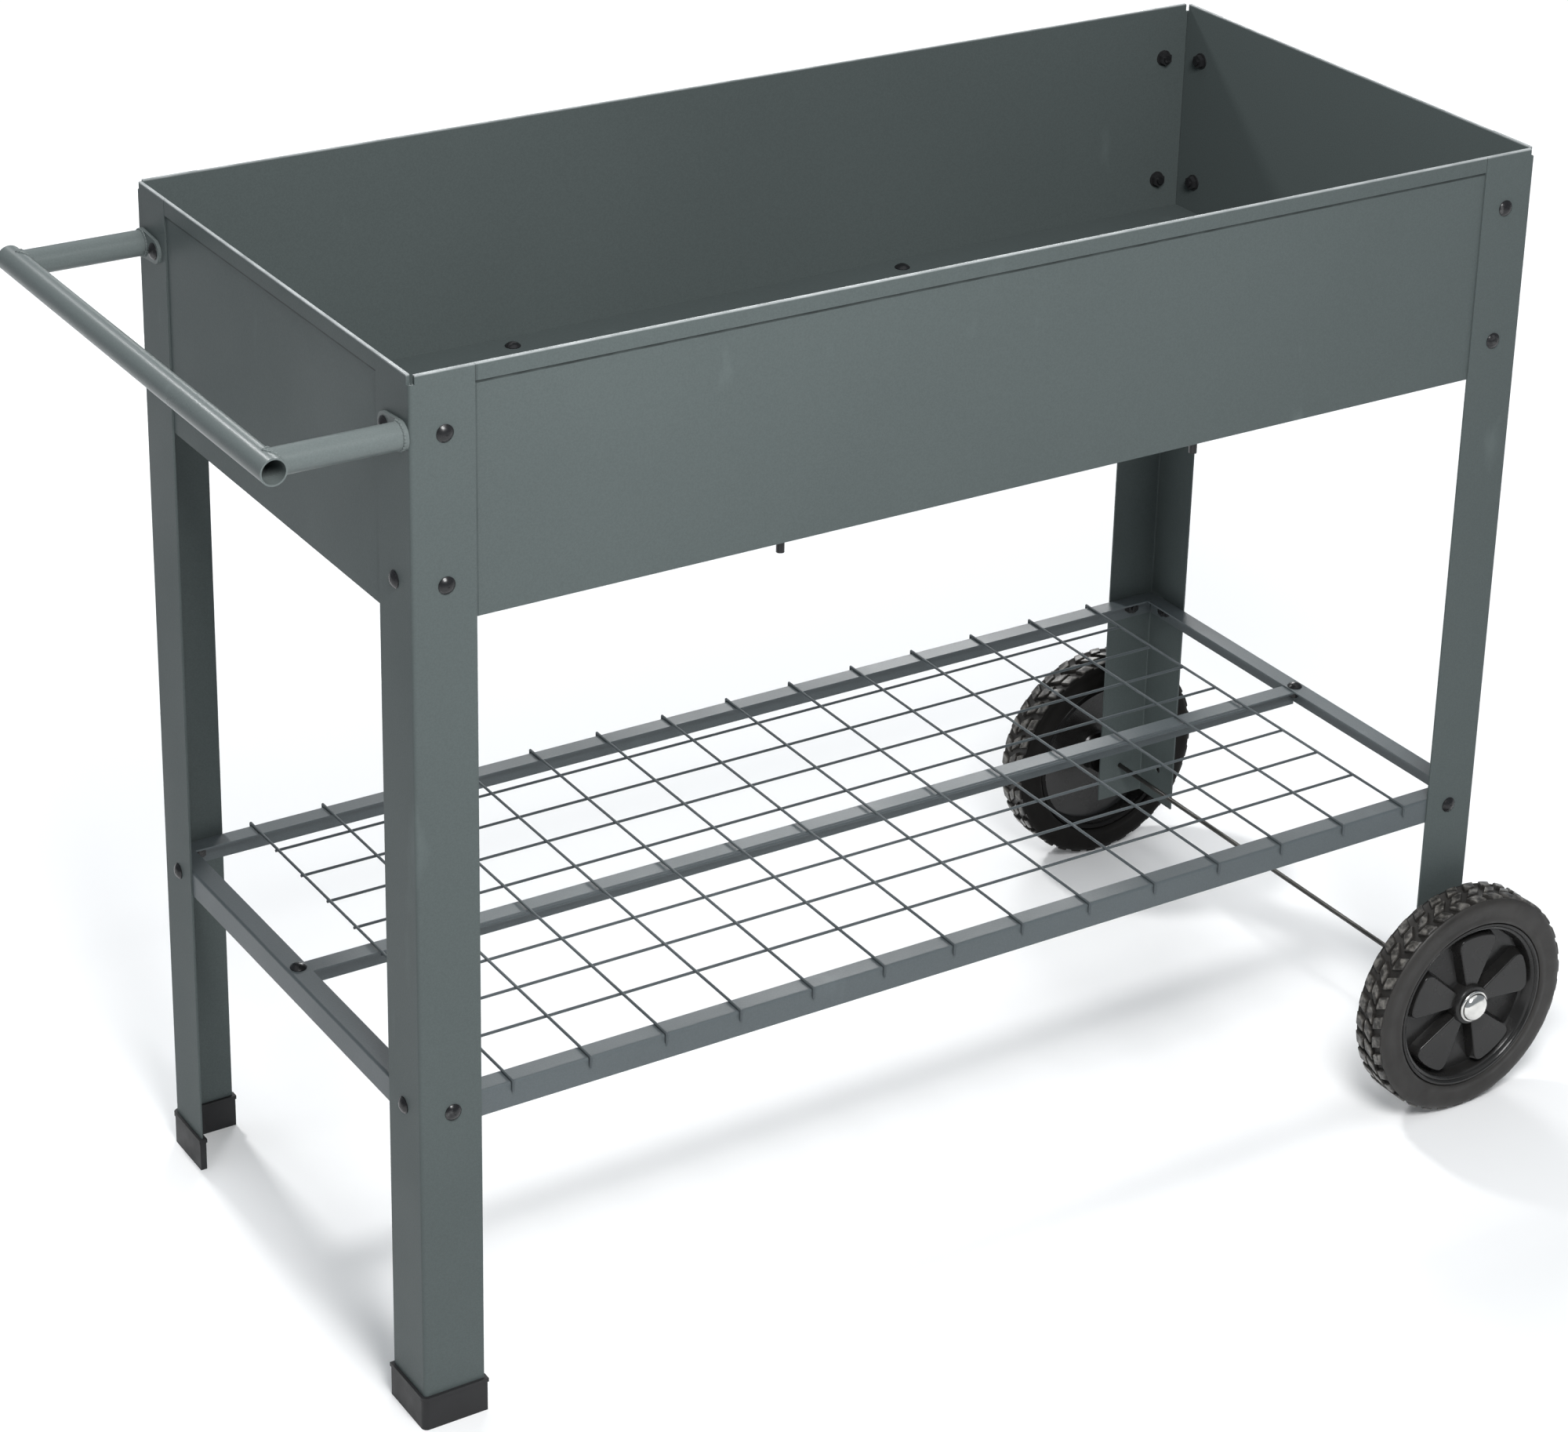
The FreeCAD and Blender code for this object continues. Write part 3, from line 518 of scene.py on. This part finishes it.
def powder_coat(name, colour, roughness, specular=0.1, rim=False, seam_shadows=False):
    """Satin powder coat: slow drift of tone, fine speckle, orange peel, and a few pale scuffs."""
    paint = Paint(name)
    tone = two_tones(paint, colour, scale=2.4, change=0.05)
    grain = two_tones(paint, WHITE, scale=900.0, change=0.05, detail=1.0)
    tone = paint.mix(1.0, tone, grain, "MULTIPLY")
    scratches = paint.noise(scale=26.0, detail=9.0, stretch=(1.0, 1.0, 0.35))
    scuffs = paint.spread(scratches, at_start=0.0, at_end=0.4, start=0.66, end=0.76)
    tone = paint.mix(scuffs, tone, shade(colour, 1.5))
    # painted shadow lines under the hem and along the left legs' edges
    if seam_shadows:
        tone = painted_seam_shadow(paint, tone, colour)
    # a paler band along the rim: partly wear, partly a painted highlight
    if rim:
        tone = rim_wear_and_highlight(paint, tone)
    paint.link(tone, "Base Color")
    paint.uneven_roughness(paint.noise(scale=7.0, detail=5.0), roughness, smoother=0.05, rougher=0.06)
    fine = paint.bump(paint.noise(scale=750.0, detail=2.0), ORANGE_PEEL)
    wave = paint.bump(paint.noise(scale=5.0, detail=1.0), SHEET_WAVE, strength=0.5, under=fine)
    paint.link(wave, "Normal")
    paint.set(Specular_IOR_Level=specular)
    return paint.material


def inner_side(paint):
    """1 on the side of a wheel that faces the planter, and 0 elsewhere."""
    inner_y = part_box("back_wheel_tyre")[0].y
    distance = paint.split(paint.vector("ABSOLUTE", paint.place))["Y"]
    limit = inner_y + INNER_SIDE_DEPTH
    return paint.spread(distance, at_start=1.0, at_end=0.0, start=limit, end=limit + INNER_SIDE_FADE)


def painted_inner_side_shade(paint, tone, dark, specular):
    """Colour and gloss for a wheel: its inner side, which lies in the planter's shade, is painted darker
    and duller than the rest.
    """
    inside = inner_side(paint)
    paint.link(paint.mix(inside, tone, dark), "Base Color")
    gloss = paint.spread(inside, at_start=specular, at_end=INNER_SIDE_GLOSS, start=0.0, end=1.0)
    paint.link(gloss, "Specular IOR Level")


def moulded_plastic(name, colour, roughness, specular=0.5, wheel=False):
    """Black moulded plastic: fine spark-eroded grain, handling dust and small marks."""
    paint = Paint(name)
    tone = two_tones(paint, colour, scale=30.0, change=0.16, detail=6.0)
    handled = paint.noise(scale=11.0, detail=8.0)
    dust = paint.spread(handled, at_start=0.0, at_end=0.22, start=0.5, end=0.75)
    tone = paint.mix(dust, tone, shade(colour, 2.6))
    paint.uneven_roughness(paint.noise(scale=60.0, detail=6.0), roughness, smoother=0.07, rougher=0.08)
    paint.link(paint.bump(paint.noise(scale=1100.0, detail=2.0), MOULD_GRAIN), "Normal")
    if wheel:
        # painted shade on the wheel's inner side, which faces the planter
        painted_inner_side_shade(paint, tone, shade(colour, 0.4), specular)
    else:
        paint.link(tone, "Base Color")
        paint.set(Specular_IOR_Level=specular)
    return paint.material


def tread_dust_and_highlight(paint, tone):
    """Colour and roughness: the blocks' tops, far from the wheels' axis, are paler, partly dust and partly
    a painted highlight, and rubbed smooth.
    """
    tyre_low, tyre_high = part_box("front_wheel_tyre")
    middle = (tyre_low + tyre_high) / 2
    links = {0: paint.vector("MULTIPLY", paint.place, (1.0, 0.0, 1.0)), 1: (middle.x, 0.0, middle.z)}
    radius = paint.node("ShaderNodeVectorMath", links, operation="DISTANCE").outputs["Value"]
    tops = paint.fade(radius, TREAD_FOOT, TREAD_TOP)
    patches = paint.fade(paint.noise(scale=210.0, detail=6.0), start=0.42, end=0.66)
    # dust and a painted highlight on the blocks' tops
    colour = paint.mix(paint.product(tops, patches), tone, TREAD_DUST_AND_HIGHLIGHT)
    rough = paint.spread(paint.noise(scale=80.0, detail=5.0), at_start=0.42, at_end=0.60)
    polish = paint.product(tops, 0.16)
    return colour, paint.math("SUBTRACT", rough, polish)


def tyre_rubber(name, colour, specular):
    """Matt rubber with a warm bloom in patches, dusty tread blocks with a painted highlight on their tops,
    painted shade on the inner side, and a pitted surface.
    """
    paint = Paint(name)
    tone = two_tones(paint, colour, scale=24.0, change=0.2, detail=7.0)
    patches = paint.noise(scale=9.0, detail=6.0)
    bloom = paint.spread(patches, at_start=0.0, at_end=0.35, start=0.45, end=0.75)
    tone = paint.mix(bloom, tone, RUBBER_BLOOM)
    tread_tone, rough = tread_dust_and_highlight(paint, tone)
    # painted shade on the wheel's inner side, which faces the planter
    painted_inner_side_shade(paint, tread_tone, shade(colour, 0.3), specular)
    paint.link(rough, "Roughness")
    pits = paint.bump(paint.noise(scale=900.0, detail=4.0), RUBBER_PITS)
    dents = paint.bump(paint.noise(scale=120.0, detail=3.0), RUBBER_DENTS, strength=0.5, under=pits)
    paint.link(dents, "Normal")
    return paint.material


def plated_steel(name, colour, roughness, stretch):
    """Zinc-plated steel with drawn or turned lines and dull patches."""
    paint = Paint(name)
    tone = two_tones(paint, colour, scale=45.0, change=0.12, detail=5.0)
    lines = paint.noise(scale=260.0, detail=3.0, stretch=stretch)
    darker = paint.spread(lines, at_start=0.0, at_end=0.3)
    paint.link(paint.mix(darker, tone, shade(colour, 0.7)), "Base Color")
    paint.uneven_roughness(lines, roughness, smoother=0.05, rougher=0.1)
    paint.link(paint.bump(lines, METAL_GRAIN), "Normal")
    paint.set(Metallic=1.0)
    return paint.material


def black_steel(name, colour, roughness, specular=0.38):
    """Black-coated fasteners, rubbed a little brighter in spots."""
    paint = Paint(name)
    tone = two_tones(paint, colour, scale=70.0, change=0.15, detail=5.0)
    spots = paint.noise(scale=160.0, detail=7.0)
    rubbed = paint.spread(spots, at_start=0.0, at_end=0.5, start=0.6, end=0.74)
    paint.link(paint.mix(rubbed, tone, BLACKING_RUBBED), "Base Color")
    paint.uneven_roughness(paint.noise(scale=120.0, detail=4.0), roughness, smoother=0.06, rougher=0.08)
    paint.link(paint.bump(paint.noise(scale=1500.0, detail=2.0), METAL_GRAIN), "Normal")
    paint.set(Specular_IOR_Level=specular)
    return paint.material


RECIPES = {
    "panel_paint": (powder_coat, {"colour": GREY_GREEN, "roughness": 0.46, "rim": True, "seam_shadows": True}),
    "leg_paint": (powder_coat, {"colour": GREY_GREEN, "roughness": 0.46, "rim": True}),
    "rail_paint": (powder_coat, {"colour": (0.088, 0.103, 0.109), "roughness": 0.44, "specular": 0.32}),
    "wire_paint": (powder_coat, {"colour": (0.082, 0.094, 0.100), "roughness": 0.40}),
    "handle_paint": (powder_coat, {"colour": (0.118, 0.137, 0.135), "roughness": 0.32, "specular": 0.14}),
    "cap_plastic": (moulded_plastic, {"colour": BLACK, "roughness": 0.46, "specular": 0.2}),
    "rim_plastic": (moulded_plastic, {
        "colour": (0.014, 0.0135, 0.013), "roughness": 0.24, "specular": 0.36, "wheel": True}),
    "spacer_plastic": (moulded_plastic, {"colour": BLACK, "roughness": 0.46}),
    "tyre_rubber": (tyre_rubber, {"colour": (0.024, 0.022, 0.020), "specular": 0.42}),
    "axle_steel": (plated_steel, {
        "colour": (0.085, 0.083, 0.078), "roughness": 0.48, "stretch": (1.0, 0.04, 1.0)}),
    "axle_cap_steel": (plated_steel, {
        "colour": (0.80, 0.79, 0.76), "roughness": 0.16, "stretch": (1.0, 1.0, 1.0)}),
    "black_bolts": (black_steel, {"colour": (0.011, 0.011, 0.012), "roughness": 0.24}),
    "black_nuts": (black_steel, {"colour": (0.016, 0.016, 0.017), "roughness": 0.42}),
}
materials = {name: recipe(name, **values) for name, (recipe, values) in RECIPES.items()}


def paint_piece(piece, material):
    piece.data.materials.clear()
    piece.data.materials.append(material)


# ---- put the object together -----------------------------------------------------------------------
for subpart in frame["record"]["subparts"]:
    paint_piece(frame["nodes"][subpart["node"]], materials[subpart["material_slot"]])

for end in ("front", "back"):
    wheel_place = WheelPlace(end)
    details = [make_tyre(end, wheel_place), make_rim(end, wheel_place), make_axle_cap(end, wheel_place)]
    details += make_handle_welds(end)
    for detail in details:
        paint_piece(detail, materials[detail["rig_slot"]])


# ---- floor, light and camera -----------------------------------------------------------------------
def make_floor(half_size, colour, glow):
    bm = bmesh.new()
    bmesh.ops.create_grid(bm, x_segments=1, y_segments=1, size=half_size)
    floor = finished(bm, "floor", sharp_degrees=60)
    floor.location.z = cad_low.z
    paint = Paint("floor")
    paint.link(two_tones(paint, colour, scale=0.6, change=0.01), "Base Color")
    paint.set(Roughness=0.9, Specular_IOR_Level=0.1)
    paint.set(Emission_Color=shade(WHITE, 1.0), Emission_Strength=glow)
    paint_piece(floor, paint.material)


def add_light(name, location, target, size, power):
    """A round lamp of a diameter in metres and a power in watts, aimed at a point."""
    light = bpy.data.lights.new(name, "AREA")
    light.shape = "DISK"
    light.size = size
    light.energy = power
    lamp = bpy.data.objects.new(name, light)
    lamp.location = location
    aim = Vector(target) - Vector(location)
    lamp.rotation_mode = "QUATERNION"
    lamp.rotation_quaternion = aim.to_track_quat("-Z", "Y")
    bpy.context.scene.collection.objects.link(lamp)


def add_overhead(strength, spread_degrees):
    """A broad, even light from straight above, so that the floor is lit alike all over."""
    light = bpy.data.lights.new("overhead", "SUN")
    light.energy = strength
    light.angle = math.radians(spread_degrees)
    lamp = bpy.data.objects.new("overhead", light)
    bpy.context.scene.collection.objects.link(lamp)


def add_world(colour, strength):
    world = bpy.data.worlds.new("studio")
    world.use_nodes = True
    background = world.node_tree.nodes["Background"]
    background.inputs["Color"].default_value = colour
    background.inputs["Strength"].default_value = strength
    bpy.context.scene.world = world


def add_camera(location, azimuth, elevation, roll, lens, sensor_width, shift_x, shift_y):
    """The scene's camera: angles in degrees, lens and sensor in millimetres."""
    data = bpy.data.cameras.new("camera")
    data.sensor_width = sensor_width
    data.lens = lens
    data.shift_x = shift_x
    data.shift_y = shift_y
    camera = bpy.data.objects.new("camera", data)
    turn = math.radians(azimuth)
    dip = math.radians(elevation)
    aim = Vector((math.sin(turn) * math.cos(dip), math.cos(turn) * math.cos(dip), -math.sin(dip)))
    camera.location = location
    camera.rotation_mode = "QUATERNION"
    camera.rotation_quaternion = Quaternion(aim, math.radians(roll)) @ aim.to_track_quat("-Z", "Y")
    bpy.context.scene.collection.objects.link(camera)
    bpy.context.scene.camera = camera


centre = (cad_low + cad_high) / 2
handle_side = centre + Vector((-0.35, 0.0, 0.0))

make_floor(half_size=14.0, colour=(0.88, 0.88, 0.88), glow=0.06)
add_world(colour=(0.84, 0.92, 1.0, 1.0), strength=0.30)
add_overhead(strength=0.62, spread_degrees=70.0)
add_light("key", location=(-0.52, -1.5, 1.95), target=handle_side, size=0.8, power=46.0)
add_light("back_top", location=(-0.35, 2.3, 2.8), target=centre, size=0.4, power=54.0)
add_light("rim", location=(2.2, 3.2, 2.15), target=centre, size=1.4, power=55.0)
add_camera(
    location=(-1.4841, -2.2749, 1.7341),
    azimuth=32.76,
    elevation=22.25,
    roll=-1.43,
    lens=90.55,
    sensor_width=36.0,
    shift_x=-0.0122,
    shift_y=-0.2064,
)
bpy.context.scene.view_settings.view_transform = "Standard"
